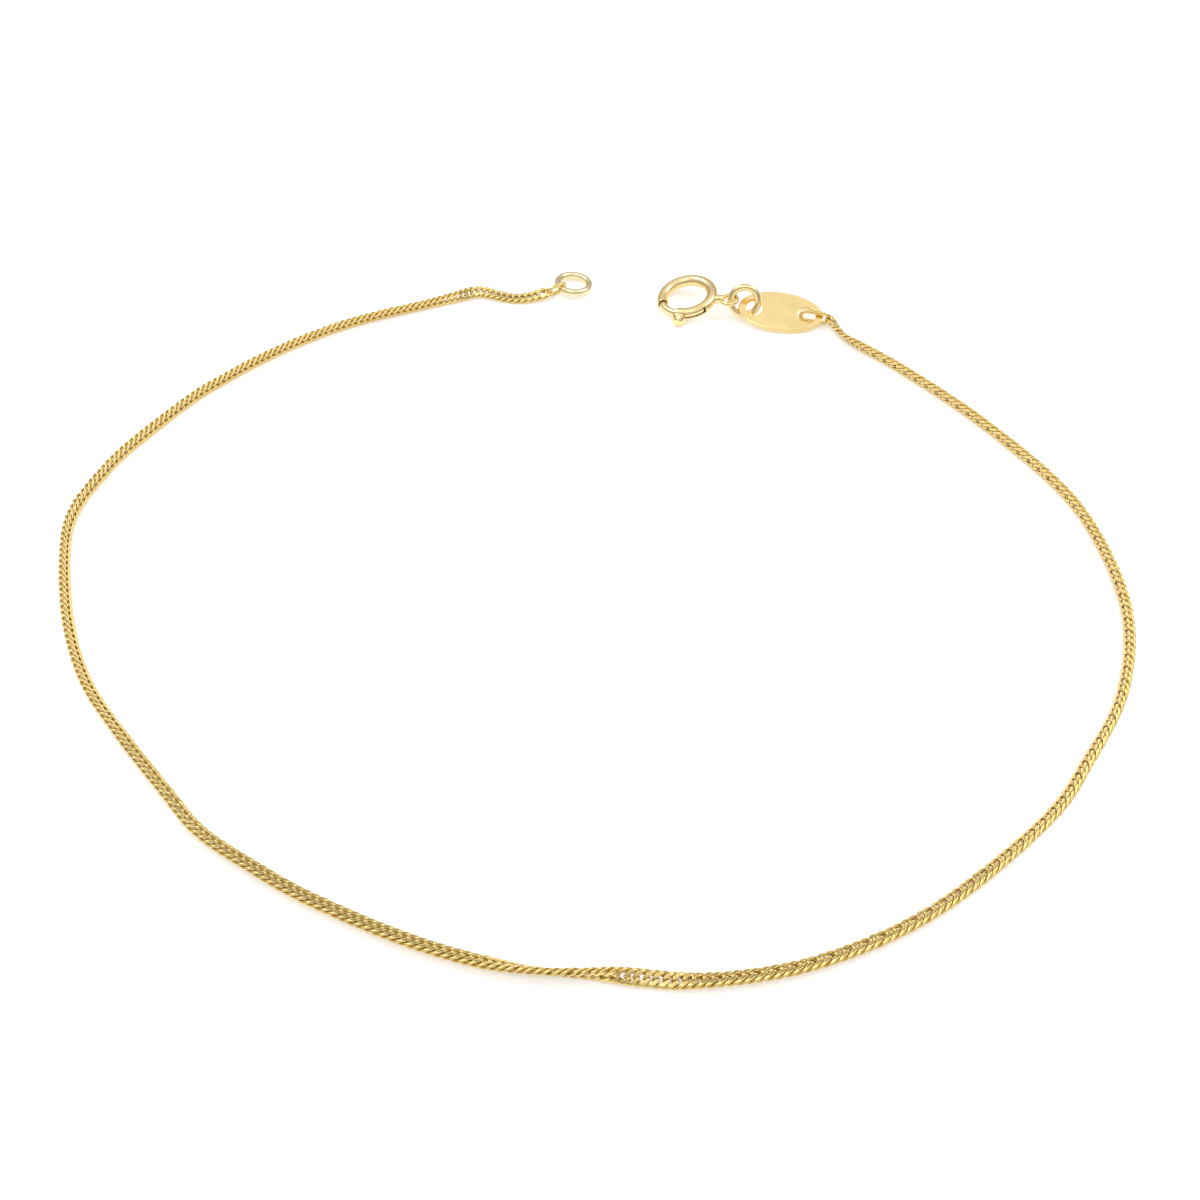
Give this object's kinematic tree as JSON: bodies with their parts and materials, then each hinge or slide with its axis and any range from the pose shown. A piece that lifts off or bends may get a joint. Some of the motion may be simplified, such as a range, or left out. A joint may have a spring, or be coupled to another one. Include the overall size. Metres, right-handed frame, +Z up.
{
  "type": "curb chain bracelet",
  "caption": "Fine yellow gold double curb chain bracelet lying open on a surface, with a spring ring clasp, a small ring, an oval end plate and a plain end ring.",
  "frame": {"origin": "The middle of the bracelet's footprint, on the surface that it lies on.", "axes": "+X runs along the loop's wide side, from the plain ring's side to the plate's side. +Y runs from the loop's front to its open back. +Z is up."},
  "size_m": [0.0698, 0.0604, 0.0028],
  "materials": {
    "chain_gold": "polished yellow gold",
    "ring_gold": "polished yellow gold",
    "plate_gold": "polished yellow gold",
    "clasp_gold": "polished yellow gold"
  },
  "bodies": {
    "bracelet": {"chain": "chain_gold", "ring_end_link": "chain_gold", "end_ring": "ring_gold", "plate_end_link": "chain_gold", "tag_plate": "plate_gold", "jump_ring": "ring_gold", "clasp_ring": "clasp_gold"},
    "bolt": {"clasp_bolt": "clasp_gold"}
  },
  "joints": [
    {"name": "bolt_slide", "type": "hinge", "parent": "bracelet", "child": "bolt", "pos_m": [0.00807, 0.02638, 0.00085], "axis": [-0.1986, -0.0406, 0.9792], "range_deg": [0, 46], "stiffness_Nm_per_rad": 0.0002, "springref_deg": -20.05}
  ]
}
